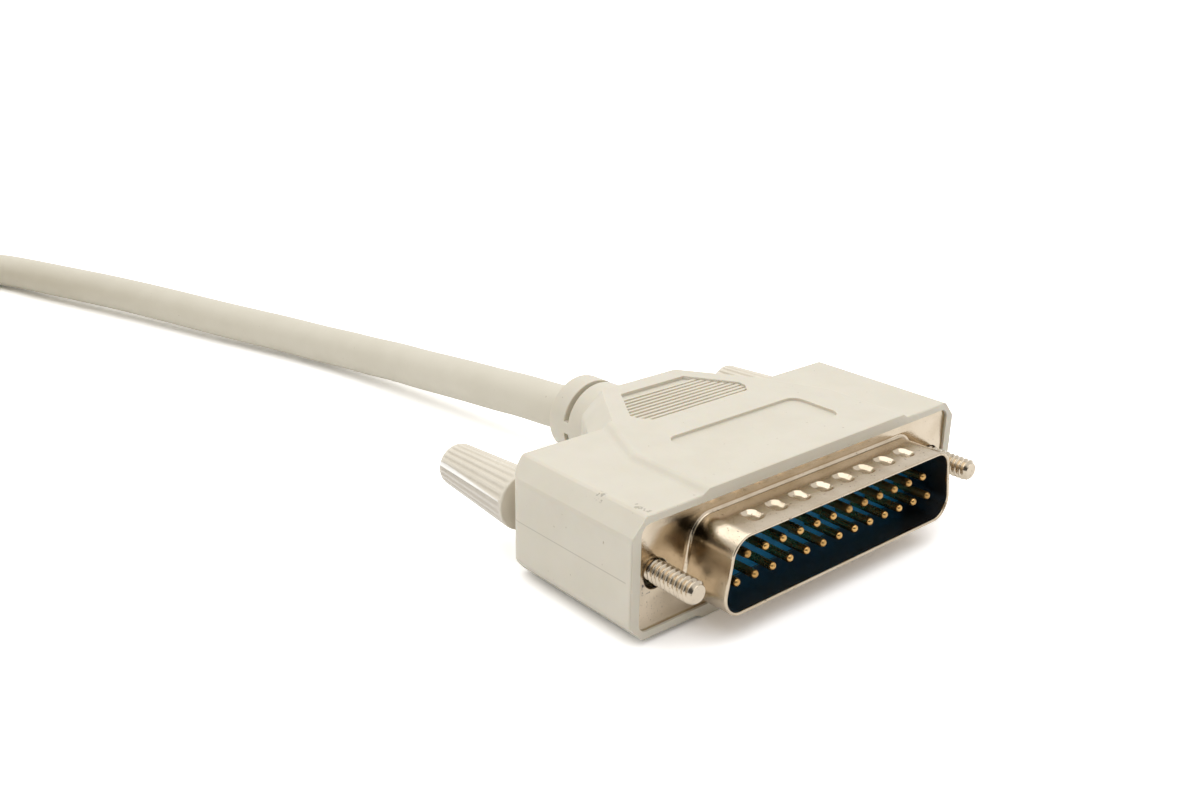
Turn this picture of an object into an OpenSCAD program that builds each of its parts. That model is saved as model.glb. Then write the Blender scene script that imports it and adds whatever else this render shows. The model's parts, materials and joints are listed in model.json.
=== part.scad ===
// 25-way D-sub cable plug: moulded hood, nickel shell, gold contacts, two
// captive thumbscrews and its round cable, with a like plug on the far end.
// Frame: X along the plug's width, the contacts point towards -Y, +Z is up.
// The origin is on the flange's front face, midway between the two screws.

/* [Contacts] */
// Contacts in the lower, wide row
lower_count = 13; // [13:1:13]
// Contacts in the upper, narrow row
upper_count = 12; // [12:1:12]
// Distance between neighbouring contacts of a row
contact_pitch = 2.76; // [2.7:0.01:2.8]
// Distance from the wide row's outer contacts to the screws beside them
contact_to_screw = 6.96; // [6.9:0.01:7]
// Distance between the two rows
row_spacing = 2.84; // [2.7:0.02:3]
// Diameter of a contact pin
pin_d = 1.0; // [0.8:0.05:1.1]
// How far the tips stand in front of the flange
pin_reach = 5.1; // [3.5:0.1:5.5]
// Diameter of the collar that locks a contact between the insulators
collar_d = 1.7; // [1.5:0.05:2]
// Outside diameter of a solder cup
cup_d = 1.6; // [1.3:0.05:1.9]
// Bore of a solder cup
cup_bore_d = 1.1; // [0.9:0.05:1.2]
// Depth of a solder cup
cup_depth = 2.4; // [1.5:0.1:2.8]

/* [Metal shells] */
// Distance from the screws to the flange's ends
screw_to_end = 3.0; // [2.8:0.05:3.2]
// Height of the flange
flange_h = 12.55; // [12.2:0.05:12.8]
// Corner radius of the flange
flange_corner_r = 2.2; // [1.8:0.1:3]
// Thickness of each shell's flange plate
plate_t = 0.5; // [0.3:0.05:0.8]
// Thickness of the drawn sheet
sheet_t = 0.4; // [0.3:0.05:0.6]
// Distance from the screws to the mouth's inside, on its wide side
screw_to_mouth = 4.04; // [3.9:0.02:4.2]
// Height inside the mouth
mouth_h = 8.36; // [8.2:0.02:8.6]
// Slant of the mouth's two ends, in degrees
mouth_slant = 10; // [6:1:12]
// Corner radius inside the mouth
mouth_corner_r = 2.2; // [1.6:0.1:2.8]
// How far the mouth stands in front of the flange
shell_reach = 6.0; // [5.2:0.1:6.4]
// Radius where the shell rises from the flange
root_r = 0.4; // [0.3:0.1:1]
// Number of grip dimples on the shell's narrow side
dimple_count = 8; // [4:1:9]
// Distance between neighbouring dimples
dimple_pitch = 3.72; // [3:0.02:3.8]
// How far the dimples lie in front of the flange
dimple_reach = 3.2; // [3:0.1:4]
// Width of a dimple
dimple_w = 1.9; // [1.2:0.1:2]
// Length of a dimple, from the flange towards the mouth
dimple_l = 2.3; // [2:0.1:2.8]
// How deep a dimple is pressed in
dimple_depth = 0.35; // [0.2:0.05:0.4]
// Depth of the rear shell's can, behind its plate
can_depth = 6.0; // [5.8:0.1:7]
// Height of the rear shell's can, outside
can_h = 10.8; // [10:0.1:11.2]

/* [Hood] */
// How far the hood reaches past each end of the flange
hood_margin = 0.78; // [0.7:0.02:1.5]
// Thickness of the hood at its ears
hood_t = 14.2; // [14:0.1:14.6]
// Depth of the ears behind the flange's face
ear_depth = 19.9; // [18:0.1:21]
// Width of the bevels along the ears
bevel_w = 2.0; // [1.6:0.1:2.2]
// Height of the bevels along the ears
bevel_h = 2.2; // [2:0.1:2.8]
// Corner radius at the back of the ears
ear_corner_r = 2.0; // [1:0.1:3]
// How far the hood's rim stands in front of the flange
rim_proud = 0.3; // [0.2:0.05:0.5]
// How far the rim laps over each end of the flange
rim_lap_end = 0.62; // [0.4:0.02:0.8]
// How far the rim laps over the flange's long edges
rim_lap_side = 0.125; // [0.075:0.025:0.275]
// Rise of the middle plateau over the ears
plateau_rise = 0.53; // [0.3:0.01:0.8]
// Width of the plateau's face
plateau_w = 33.2; // [31:0.1:35]
// Width of the slope along the plateau
plateau_slope = 0.8; // [0.5:0.1:1.2]
// Depth at which the plateau starts to narrow
plateau_straight = 11.2; // [10:0.1:13]
// Width of the plateau's face at the back of the ears
plateau_back_w = 25.2; // [23:0.1:27]
// Depth of the neck's end
neck_depth = 28.7; // [27.5:0.1:30]
// Width of the neck's flat face at its end
neck_flat_w = 12.4; // [11:0.1:14]
// Width of the neck at its end
neck_w = 18.8; // [18:0.1:21]
// Height of the neck's upright sides
neck_side_h = 9.8; // [9:0.1:11]
// Width of the neck where it leaves the ears
neck_root_w = 32; // [30:0.5:34]

/* [Hood details] */
// Width of the bare label recess
label_w = 22; // [16:0.5:26]
// Depth of the label recess along the hood
label_l = 7.5; // [5:0.1:8]
// Start of the label recess behind the flange's face
label_y = 4.6; // [3.5:0.1:5.5]
// Corner radius of the label recess
label_corner_r = 1.5; // [0.8:0.1:2]
// Depth of the label recess
label_depth = 0.4; // [0.1:0.05:0.5]
// Width of the grip recess at its front
grip_front_w = 18; // [15:0.2:20]
// Width of the grip recess at its back
grip_back_w = 10.8; // [9:0.2:12]
// Start of the grip recess behind the flange's face
grip_y = 17.2; // [16:0.1:18]
// Length of the grip recess
grip_l = 8.7; // [7:0.1:9]
// Depth of the grip recess
grip_depth = 0.45; // [0.3:0.05:0.8]
// Distance between the grip's ribs
rib_pitch = 0.8; // [0.7:0.05:1]
// Width of a rib
rib_w = 0.4; // [0.3:0.05:0.5]
// Height of a rib
rib_h = 0.2; // [0.1:0.05:0.3]

/* [Thumbscrews] */
// Outside diameter of the thread
thread_d = 2.84; // [2.7:0.01:2.9]
// Diameter of the plain shank
shank_d = 2.2; // [2:0.05:2.3]
// How far the screw tip stands in front of the flange
screw_reach = 5.95; // [5.4:0.05:6.5]
// Where the thread ends behind the flange's face
thread_end = 8; // [6:0.5:10]
// Diameter of the flange's holes
flange_hole_d = 3.36; // [3.05:0.01:3.5]
// Diameter of the hood's front screw channel
channel_d = 3.5; // [3.3:0.05:3.7]
// Radial clearance of the shank in its rear bore
shank_play = 0.06; // [0.04:0.01:0.1]
// Length of the rear bore that guides the shank
guide_l = 5; // [3:0.5:7]
// Gap between the ears and the knobs
knob_gap = 1.8; // [1:0.1:2.5]
// Length of a knob
knob_l = 14; // [12:0.5:16]
// Radius of a knob next to the ears
knob_root_r = 3.55; // [3.3:0.05:3.8]
// Radius of a knob at its outer end
knob_end_r = 2.65; // [2.3:0.05:2.9]
// Number of flutes around a knob
flute_count = 24; // [18:1:28]
// Radius of a flute
flute_r = 0.25; // [0.15:0.05:0.3]
// Depth that the screw is moulded into its knob
screw_grip = 10; // [7:0.5:12]

/* [Cable] */
// Diameter of the cable
cable_d = 6.2; // [6:0.1:6.4]
// How far the cable's exit lies under the middle plane
exit_drop = 0.4; // [0.2:0.1:0.5]
// Length of the strain relief outside the neck
relief_l = 11.5; // [10:0.5:13]
// Radius of the strain relief next to the neck
relief_root_r = 5.55; // [5.3:0.05:5.8]
// Radius of the strain relief at its end
relief_end_r = 5.3; // [5:0.05:5.5]
// Width of the slot around the strain relief
slot_w = 0.9; // [0.6:0.1:1.2]
// Distance from the slot to the strain relief's end
slot_back = 3.5; // [3:0.1:4.5]
// Wall left under the slot
slot_floor_t = 0.6; // [0.4:0.1:1]
// Width of the bridges that the slot leaves
bridge_w = 1.6; // [1:0.1:2.4]
// Diameter of one conductor
wire_d = 0.75; // [0.6:0.05:0.75]
// Mean diameter of the stored coil
coil_mean_d = 62; // [60:1:64]
// Turns side by side in the coil
coil_columns = 2; // [2:1:2]
// Turns on top of each other in the coil's outer column
coil_layers = 3; // [3:1:3]
// Thickness of the tie around the coil
tie_t = 0.4; // [0.3:0.05:0.5]

/* [Hidden] */

beige = [0.87, 0.84, 0.77];
pale_beige = [0.90, 0.87, 0.82];
nickel = [0.76, 0.73, 0.68];
gold = [0.86, 0.66, 0.28];
blue = [0.02, 0.28, 0.45];
white = [0.92, 0.92, 0.90];
black = [0.12, 0.12, 0.12];

fine = 48;
eps = 0.01;
fit = 0.03;
stand_clear = 0.05;
contact_count = lower_count + upper_count;

// lengths across the plug that follow from the contacts
screw_spacing = (lower_count - 1) * contact_pitch + 2 * contact_to_screw;
mouth_w = screw_spacing - 2 * screw_to_mouth;
flange_l = screw_spacing + 2 * screw_to_end;
hood_w = flange_l + 2 * hood_margin;
window_l = flange_l - 2 * rim_lap_end;
window_h = flange_h - 2 * rim_lap_side;

// depths behind the flange's front face
seat_y = 2 * plate_t;
can_y = plate_t + can_depth;
split_y = plate_t + 3;
cup_y = can_y + 1;
cup_end = cup_y + 3;
chamber_y = can_y + 0.5;
relief_flange_t = 1.2;
relief_neck_l = 2.5;
relief_y = neck_depth - relief_neck_l - relief_flange_t;
jacket_y = relief_y - 2;
relief_end = neck_depth + relief_l;
knob_y = ear_depth + knob_gap;

// widths and heights that follow from the sizes above
floor_z = -(hood_t / 2 + plateau_rise);
can_w = mouth_w + 2 * sheet_t + 1.2;
insulator_lip = 0.4;
chamber_wall = 2;
cavity_straight = 4;
cavity_neck_w = 15;
relief_neck_r = 4.3;
relief_flange_r = 4.9;
cable_r = cable_d / 2;
coil_pitch = cable_d + 0.1;
coil_high = coil_layers + 1;
facet_angle = 360 / fine;

// where the coil and the far plug lie
coil_x = -81.5;
coil_y = 162.85;
far_x = -94.5;
far_y = 78;

// centreline of the cable from the plug to the coil, by hand
cable_route = [
    [0, jacket_y, -exit_drop], [0, 27, -exit_drop], [0, 31, -exit_drop], [0, 36, -exit_drop],
    [0, 40, -exit_drop], [-0.1, 43.5, -0.8], [-0.3, 47, -1.2], [-0.8, 52, -1.6],
    [-1.5, 57, -2], [-2.1, 62.5, -2.4], [-2.7, 68, -2.8], [-3.5, 74, -3.2],
    [-4.3, 80, -3.5], [-5.3, 86, -3.9], [-6.4, 92, -4.2], [-7.9, 98.5, -4.5],
    [-10, 106, -4.53], [-12.6, 114, -4.53], [-15.3, 122, -4.53], [-18.1, 131, -4.53],
    [-20.9, 140, -4.53], [-23.9, 149, -4.53], [-26.9, 158, -4.53], [-30, 167, -4.53],
    [-32.4, 175, -4.53], [-34.6, 181, -4.53], [-38.2, 187.4, -4.5], [-43.6, 192.8, -4.4],
    [-50.6, 196.2, -4.3], [-59, 197, -4.2], [-68, 197, -4.13], [-76, 197, -4.13],
    [-81.5, 197, -4.13]];

// centreline from the coil to the far plug, by hand
tail_route = [
    [-107.2, 140.4, 2.17], [-104.6, 137.4, 1.9], [-102, 134.4, 1.5], [-99.5, 131.6, 1],
    [-96.8, 127.6, 0.4], [-95.1, 123, 0], [-94.6, 120, -0.3], [-94.5, 117.5, -exit_drop],
    [-94.5, 113, -exit_drop], [-94.5, 108, -exit_drop], [-94.5, 104, -exit_drop],
    [-94.5, far_y + jacket_y, -exit_drop]];

function pin_name(i) = str("pin_", i < 10 ? "0" : "", i);

// contact i, counted from 0: the lower row first, then the upper row
function contact_x(i) = i < lower_count
    ? (i - (lower_count - 1) / 2) * contact_pitch
    : (i - lower_count - (upper_count - 1) / 2) * contact_pitch;
function contact_z(i) = (i < lower_count ? -1 : 1) * row_spacing / 2;

// unit vector, and the two directions across a line that runs along d
function unit(v) = v / norm(v);
function side(d) = unit(cross(d, [0, 0, 1]));
function over(d) = cross(side(d), d);

// direction of a route at its point i
function along(p, i) = unit(p[min(i + 1, len(p) - 1)] - p[max(i - 1, 0)]);

// ---- general shapes ----

// cylinder along +Y that starts at depth y
module rod(d, y, l, x = 0, z = 0, d2 = undef) {
    translate([x, y, z]) rotate([-90, 0, 0])
        cylinder(d1 = d, d2 = is_undef(d2) ? d : d2, h = l, $fn = fine);
}

// flat outline in the XZ plane, thickened along +Y from depth y
module slab(y, l) {
    translate([0, y + l, 0]) rotate([90, 0, 0]) linear_extrude(l) children();
}

module rounded_box(w, h, r) {
    offset(r = r, $fn = 32) square([w - 2 * r, h - 2 * r], center = true);
}

// D outline with its narrow side up; grow widens it on every side
module d_outline(grow = 0) {
    half = mouth_w / 2;
    narrow = half - mouth_h * tan(mouth_slant);
    offset(r = mouth_corner_r + grow, $fn = 32) offset(delta = -mouth_corner_r)
        polygon([[-half, -mouth_h / 2], [half, -mouth_h / 2],
                 [narrow, mouth_h / 2], [-narrow, mouth_h / 2]]);
}

module both_sides() {
    for (s = [-1, 1]) translate([s * screw_spacing / 2, 0, 0]) children();
}

// round tube swept along a route, one ring at each point
module swept(p, r, sides) {
    rings = len(p);
    points = [for (i = [0:rings - 1]) let (d = along(p, i))
        for (k = [0:sides - 1]) let (a = 360 * k / sides)
            p[i] + r * (cos(a) * side(d) + sin(a) * over(d))];
    walls = [for (i = [0:rings - 2]) for (k = [0:sides - 1])
        let (a = i * sides + k, b = i * sides + (k + 1) % sides)
            [a, b, b + sides, a + sides]];
    start = [[for (k = [0:sides - 1]) sides - 1 - k]];
    end = [[for (k = [0:sides - 1]) (rings - 1) * sides + k]];
    polyhedron(points, concat(start, walls, end), convexity = 6);
}

// ---- contacts and insulators ----

// a turned pin with a locking collar and a solder cup that is open at the back
module contact(x, z) {
    tip_r = pin_d / 2;
    collar_r = collar_d / 2;
    cup_r = cup_d / 2;
    translate([x, 0, z]) rotate([-90, 0, 0]) difference() {
        rotate_extrude($fn = 24) union() {
            translate([0, -pin_reach + tip_r]) intersection() {
                circle(tip_r, $fn = 24);
                translate([0, -tip_r]) square([tip_r, tip_r]);
            }
            polygon([[0, -pin_reach + tip_r], [tip_r, -pin_reach + tip_r],
                     [tip_r, split_y - 0.6], [collar_r, split_y - 0.6],
                     [collar_r, split_y + 0.6], [cup_r * 0.8, split_y + 0.6],
                     [cup_r * 0.8, cup_y], [cup_r, cup_y], [cup_r, cup_end], [0, cup_end]]);
        }
        translate([0, 0, cup_end - cup_depth])
            cylinder(d = cup_bore_d, h = cup_depth + eps, $fn = 24);
        translate([-cup_r, z > 0 ? -cup_r - eps : eps, cup_end - 1.2])
            cube([cup_d, cup_r, 1.2 + eps]);
    }
}

module pin(i) {
    color(gold) contact(contact_x(i - 1), contact_z(i - 1));
}

// front half: fills the mouth's root and carries the contacts' front shafts
module insulator_front() {
    color(blue) difference() {
        union() {
            slab(-0.2, plate_t + 0.2) d_outline(-stand_clear);
            slab(plate_t, split_y - plate_t) d_outline(sheet_t + insulator_lip);
        }
        for (i = [0:contact_count - 1]) {
            rod(pin_d + 2 * fit, -1, split_y + 1, contact_x(i), contact_z(i));
            rod(collar_d + 2 * fit, split_y - 0.6, 1, contact_x(i), contact_z(i));
        }
    }
}

// rear half: closes over the collars and fills the rear shell's can
module insulator_rear() {
    color(blue) difference() {
        slab(split_y, can_y - split_y) d_outline(sheet_t + insulator_lip);
        for (i = [0:contact_count - 1]) {
            rod(collar_d + 2 * fit, split_y - 0.4, 1, contact_x(i), contact_z(i));
            rod(0.8 * cup_d + 2 * fit, split_y, can_y, contact_x(i), contact_z(i));
        }
    }
}

// ---- metal shells ----

module flange_outline() {
    rounded_box(flange_l, flange_h, flange_corner_r);
}

// drawn D shell with a flared root, a flange with two holes and a row of dimples
module front_shell() {
    color(nickel) difference() {
        union() {
            difference() {
                union() {
                    slab(0, plate_t) flange_outline();
                    slab(-shell_reach, shell_reach + eps) d_outline(sheet_t);
                    for (k = [0:2]) let (a = 30 * k, b = 30 * (k + 1)) hull() {
                        slab(-root_r * (1 - sin(a)), eps) d_outline(sheet_t + root_r * (1 - cos(a)));
                        slab(-root_r * (1 - sin(b)), eps) d_outline(sheet_t + root_r * (1 - cos(b)));
                    }
                }
                slab(-shell_reach - 1, shell_reach + plate_t + 2) d_outline(0);
            }
            intersection() {
                each_dimple() pressed_form(sheet_t);
                translate([-mouth_w / 2, -shell_reach, 0])
                    cube([mouth_w, shell_reach, mouth_h / 2 + sheet_t / 2]);
            }
        }
        each_dimple() pressed_form(0);
        both_sides() rod(flange_hole_d, -1, plate_t + 2);
    }
}

// children at each dimple's place
module each_dimple() {
    for (i = [0:dimple_count - 1])
        translate([(i - (dimple_count - 1) / 2) * dimple_pitch, -dimple_reach, 0]) children();
}

// long ball pressed into the wall from outside; a sheet thicker, it is the bulge inside
module pressed_form(thicker) {
    ball_r = (dimple_w * dimple_w / 4 + dimple_depth * dimple_depth) / (2 * dimple_depth);
    between = dimple_l - dimple_w;
    translate([0, 0, mouth_h / 2 + sheet_t - dimple_depth + ball_r]) {
        for (s = [-1, 1]) translate([0, s * between / 2, 0]) sphere(ball_r + thicker, $fn = 24);
        rod(2 * (ball_r + thicker), -between / 2, between);
    }
}

// plate behind the front shell's flange, with a can around the insulators
module rear_shell() {
    color(nickel) difference() {
        union() {
            slab(plate_t, plate_t) flange_outline();
            slab(seat_y - eps, can_y - seat_y) rounded_box(can_w, can_h, 1.6);
        }
        slab(plate_t - 1, can_depth + 2) d_outline(sheet_t + insulator_lip + stand_clear);
        both_sides() rod(flange_hole_d, -1, seat_y + 2);
    }
}

// ---- hood ----

// octagon across the ears: a rectangle with four bevelled corners
module ear_section() {
    w = hood_w / 2;
    t = hood_t / 2;
    polygon([[w, -t + bevel_h], [w, t - bevel_h], [w - bevel_w, t], [bevel_w - w, t],
             [-w, t - bevel_h], [-w, bevel_h - t], [bevel_w - w, -t], [w - bevel_w, -t]]);
}

// the same octagon form for the neck
module neck_section(flat_w, side_w) {
    t = hood_t / 2 + plateau_rise;
    polygon([[side_w / 2, -neck_side_h / 2], [side_w / 2, neck_side_h / 2], [flat_w / 2, t],
             [-flat_w / 2, t], [-side_w / 2, neck_side_h / 2], [-side_w / 2, -neck_side_h / 2],
             [-flat_w / 2, -t], [flat_w / 2, -t]]);
}

// plan of the plateau; grow widens it to its foot
module plateau_outline(grow) {
    w = plateau_w / 2 + grow;
    b = plateau_back_w / 2 + grow;
    polygon([[w, -rim_proud], [w, plateau_straight], [b, ear_depth], [-b, ear_depth],
             [-w, plateau_straight], [-w, -rim_proud]]);
}

module hood_form() {
    t = hood_t / 2;
    // ears, with rounded corners at the back
    intersection() {
        slab(-rim_proud, ear_depth + rim_proud) ear_section();
        translate([0, 0, -t]) linear_extrude(hood_t) union() {
            translate([-hood_w / 2, -rim_proud])
                square([hood_w, ear_depth + rim_proud - ear_corner_r]);
            translate([ear_corner_r - hood_w / 2, 0])
                square([hood_w - 2 * ear_corner_r, ear_depth]);
            for (s = [-1, 1])
                translate([s * (hood_w / 2 - ear_corner_r), ear_depth - ear_corner_r])
                    circle(ear_corner_r, $fn = fine);
        }
    }
    // plateau above and below the ears
    hull() {
        translate([0, 0, -t + eps]) linear_extrude(hood_t - 2 * eps)
            plateau_outline(plateau_slope);
        translate([0, 0, -t - plateau_rise]) linear_extrude(hood_t + 2 * plateau_rise)
            plateau_outline(0);
    }
    // neck
    hull() {
        slab(ear_depth - 0.5, eps) neck_section(plateau_back_w, neck_root_w);
        slab(neck_depth - eps, eps) neck_section(neck_flat_w, neck_w);
    }
}

// shape of the space behind the rear shell, down to the strain relief's flange
module cavity_form(wall = 0, back = relief_y + relief_flange_t) {
    front = can_y;
    w = can_w / 2 - wall;
    neck = cavity_neck_w / 2 - wall;
    narrowed = front + cavity_straight;
    h = can_h - 2 * wall;
    translate([0, 0, -h / 2]) linear_extrude(h)
        polygon([[-w, front], [w, front], [w, narrowed], [neck, jacket_y], [neck, back],
                 [-neck, back], [-neck, jacket_y], [-w, narrowed]]);
}

module grip_outline() {
    f = grip_front_w / 2;
    b = grip_back_w / 2;
    side_y = grip_y + 2.6;
    polygon([[-f + 0.9, grip_y], [f - 0.9, grip_y], [f + 0.2, grip_y + 1.4], [f + 0.4, side_y],
             [b, grip_y + grip_l], [-b, grip_y + grip_l], [-f - 0.4, side_y],
             [-f - 0.2, grip_y + 1.4]]);
}

// one-piece overmoulding with its pockets, channels, label recess and grip
module hood() {
    top = hood_t / 2 + plateau_rise;
    rib_count = floor((grip_l - 0.4) / rib_pitch);
    color(beige) difference() {
        hood_form();
        slab(-rim_proud - 1, rim_proud + 1 + eps) rounded_box(window_l, window_h, 1.2);
        slab(0, seat_y)
            rounded_box(flange_l + 2 * stand_clear, flange_h + 2 * stand_clear, flange_corner_r);
        slab(seat_y - eps, can_y - seat_y + 2 * eps)
            rounded_box(can_w + 2 * stand_clear, can_h, 1.6);
        cavity_form();
        rod(2 * (relief_neck_r + fit), relief_y, 10, 0, -exit_drop);
        both_sides() {
            rod(channel_d, 0, ear_depth - guide_l);
            rod(shank_d + 2 * shank_play, 0, ear_depth + 1);
        }
        translate([0, label_y + label_l / 2, top - label_depth])
            linear_extrude(1) rounded_box(label_w, label_l, label_corner_r);
        translate([0, 0, top - grip_depth]) linear_extrude(rib_h) difference() {
            grip_outline();
            for (i = [0:rib_count - 1])
                translate([-grip_front_w, grip_y + i * rib_pitch])
                    square([2 * grip_front_w, rib_w]);
        }
        translate([0, 0, top - grip_depth + rib_h - eps]) linear_extrude(1) grip_outline();
    }
}

// first moulding around the soldered ends, with a chamber for the conductors
module inner_mould() {
    color(white) difference() {
        intersection() {
            cavity_form();
            translate([-hood_w, 0, -hood_t]) cube([2 * hood_w, relief_y, 2 * hood_t]);
        }
        cavity_form(chamber_wall, jacket_y);
        rod(cable_d + 2 * fit, jacket_y - eps, 10, 0, -exit_drop);
    }
}

// ---- strain relief ----

module strain_relief() {
    slot_y = relief_end - slot_back - slot_w / 2;
    slot_r = cable_r + slot_floor_t;
    color(beige) difference() {
        union() {
            rod(2 * relief_flange_r, relief_y, relief_flange_t, 0, -exit_drop);
            rod(2 * relief_neck_r, relief_y + eps, relief_neck_l + relief_flange_t, 0, -exit_drop);
            rod(2 * relief_root_r, neck_depth, relief_l, 0, -exit_drop, 2 * relief_end_r);
        }
        rod(cable_d + 2 * fit, 0, relief_end + 1, 0, -exit_drop);
        difference() {
            rod(4 * relief_root_r, slot_y, slot_w, 0, -exit_drop);
            rod(2 * slot_r, slot_y - 1, slot_w + 2, 0, -exit_drop);
            translate([-2 * relief_root_r, slot_y - 1, -exit_drop - bridge_w / 2])
                cube([4 * relief_root_r, slot_w + 2, bridge_w]);
        }
    }
}

// ---- thumbscrews ----

// screw with a chamfered tip, a thread at its nominal diameter where it stands out,
// a little slimmer inside the plug, and a plain shank
module screw() {
    tip = 0.5;
    color(nickel) union() {
        rod(thread_d - 2 * tip, -screw_reach, tip, 0, 0, thread_d);
        rod(thread_d, tip - screw_reach, screw_reach - tip - rim_proud);
        rod(thread_d - 2 * fit, -rim_proud - eps, thread_end + rim_proud + eps);
        rod(shank_d, thread_end - eps, knob_y + screw_grip - thread_end + eps);
    }
}

// tapered knob with flutes, moulded on the screw's rear end
module knob() {
    lean = atan((knob_root_r - knob_end_r) / knob_l);
    round_l = 0.6;
    color(pale_beige) difference() {
        union() {
            rod(2 * knob_root_r, knob_y, knob_l - round_l, 0, 0, 2 * knob_end_r + 0.08);
            rod(2 * knob_end_r + 0.08, knob_y + knob_l - round_l - eps, round_l + eps,
                0, 0, 2 * knob_end_r - 0.9);
        }
        rod(shank_d, knob_y - 1, screw_grip + 1);
        for (i = [0:flute_count - 1]) rotate([0, 360 * (i + 0.5) / flute_count, 0])
            translate([0, knob_y - 1, knob_root_r + 0.1]) rotate([-90 - lean, 0, 0])
                cylinder(r = flute_r, h = knob_l + 3, $fn = 16);
    }
}

module screw_left() { translate([-screw_spacing / 2, 0, 0]) screw(); }
module screw_right() { translate([screw_spacing / 2, 0, 0]) screw(); }
module knob_left() { translate([-screw_spacing / 2, 0, 0]) knob(); }
module knob_right() { translate([screw_spacing / 2, 0, 0]) knob(); }

// ---- conductors and cable ----

// order of a contact from left to right over both rows
function left_rank(i) = i < lower_count ? 2 * i : 2 * (i - lower_count) + 1;

// place of a conductor in the five-by-five bundle at the cable's end
function bundle_x(i) = (floor(left_rank(i) / 5) - 2) * 0.85;
function bundle_z(i) = let (
        first = 5 * floor(left_rank(i) / 5),
        below = [for (r = [first:first + 4]) if (r % 2 == 0 && (r < left_rank(i)
            || left_rank(i) % 2 == 1)) r],
        beside = [for (r = [first:first + 4]) if (r % 2 == 1 && r < left_rank(i)
            && left_rank(i) % 2 == 1) r])
    (len(below) + len(beside) - 2) * 0.85;

// one insulated conductor from its solder cup to the end of the jacket
module conductor(i) {
    start_y = cup_end - cup_depth;
    from = [contact_x(i), start_y, contact_z(i)];
    to = [bundle_x(i), jacket_y, bundle_z(i) - exit_drop];
    straight = 2.6;
    run = jacket_y - start_y - straight - 0.4;
    route = concat([from], [for (k = [0:6]) let (t = k / 6, s = t * t * (3 - 2 * t))
        [from[0] + (to[0] - from[0]) * s, start_y + straight + run * t,
         from[2] + (to[2] - from[2]) * s]], [to]);
    swept(route, wire_d / 2, 6);
}

module conductors() {
    color(white) for (i = [0:contact_count - 1]) conductor(i);
}

module cable() {
    color(beige) swept(cable_route, cable_r, 12);
}

module cable_tail() {
    color(beige) swept(tail_route, cable_r, 12);
}

// outline of the coil's bundle: two turns wide, the inner column one turn higher
module bundle_outline(grow = 0) {
    r = coil_mean_d / 2;
    w = coil_columns * coil_pitch / 2 + grow;
    low = tie_t - grow;
    outer_top = tie_t + coil_layers * coil_pitch + grow;
    inner_top = tie_t + coil_high * coil_pitch + grow;
    polygon([[r - w + 1, low], [r + w - 1, low], [r + w, low + 1], [r + w, outer_top - 1.5],
             [r + w - 1.5, outer_top], [r + 1, inner_top - 2], [r - 1, inner_top],
             [r - w + 1.5, inner_top], [r - w, inner_top - 1.5], [r - w, low + 1]]);
}

module cable_coil() {
    color(beige) translate([coil_x, coil_y, floor_z])
        rotate_extrude($fn = fine) bundle_outline();
}

// band around the coil's bundle, on the side that faces away from the plug
module coil_tie() {
    color(black) translate([coil_x, coil_y, floor_z]) rotate([0, 0, 26 * facet_angle])
        rotate_extrude(angle = facet_angle, $fn = fine) difference() {
            bundle_outline(tie_t);
            bundle_outline(fit);
        }
}

// ---- the like plug on the far end ----

module far_side() { translate([far_x, far_y, 0]) children(); }

module far_hood() { far_side() hood(); }
module far_strain_relief() { far_side() strain_relief(); }
module far_front_shell() { far_side() front_shell(); }
module far_rear_shell() { far_side() rear_shell(); }
module far_insulator_front() { far_side() insulator_front(); }
module far_insulator_rear() { far_side() insulator_rear(); }
module far_contacts() { far_side() for (i = [1:contact_count]) pin(i); }
module far_screw_left() { far_side() screw_left(); }
module far_screw_right() { far_side() screw_right(); }
module far_knob_left() { far_side() knob_left(); }
module far_knob_right() { far_side() knob_right(); }
module far_inner_mould() { far_side() inner_mould(); }
module far_conductors() { far_side() conductors(); }

for (i = [1:contact_count]) pin(i);
insulator_front();
insulator_rear();
front_shell();
rear_shell();
hood();
inner_mould();
strain_relief();
screw_left();
screw_right();
knob_left();
knob_right();
conductors();
cable();
cable_coil();
coil_tie();
cable_tail();
far_hood();
far_strain_relief();
far_front_shell();
far_rear_shell();
far_insulator_front();
far_insulator_rear();
far_contacts();
far_screw_left();
far_screw_right();
far_knob_left();
far_knob_right();
far_inner_mould();
far_conductors();
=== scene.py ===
# %% [markdown]
# # A 25-way D-sub cable plug
# The plug is a beige overmoulding around a nickel-plated shell. Twenty-five gold pins stand
# in a blue insulator inside the shell, two long thumbscrews run through the ears, and a
# round cable leaves the back through a slotted strain relief.
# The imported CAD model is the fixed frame: it says where each piece is. This script gives
# every visible piece its fine shape and its finish.

# %% Load the frame
import json
import math

import bmesh
import bpy
from mathutils import Matrix, Vector
import numpy as np

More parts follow.
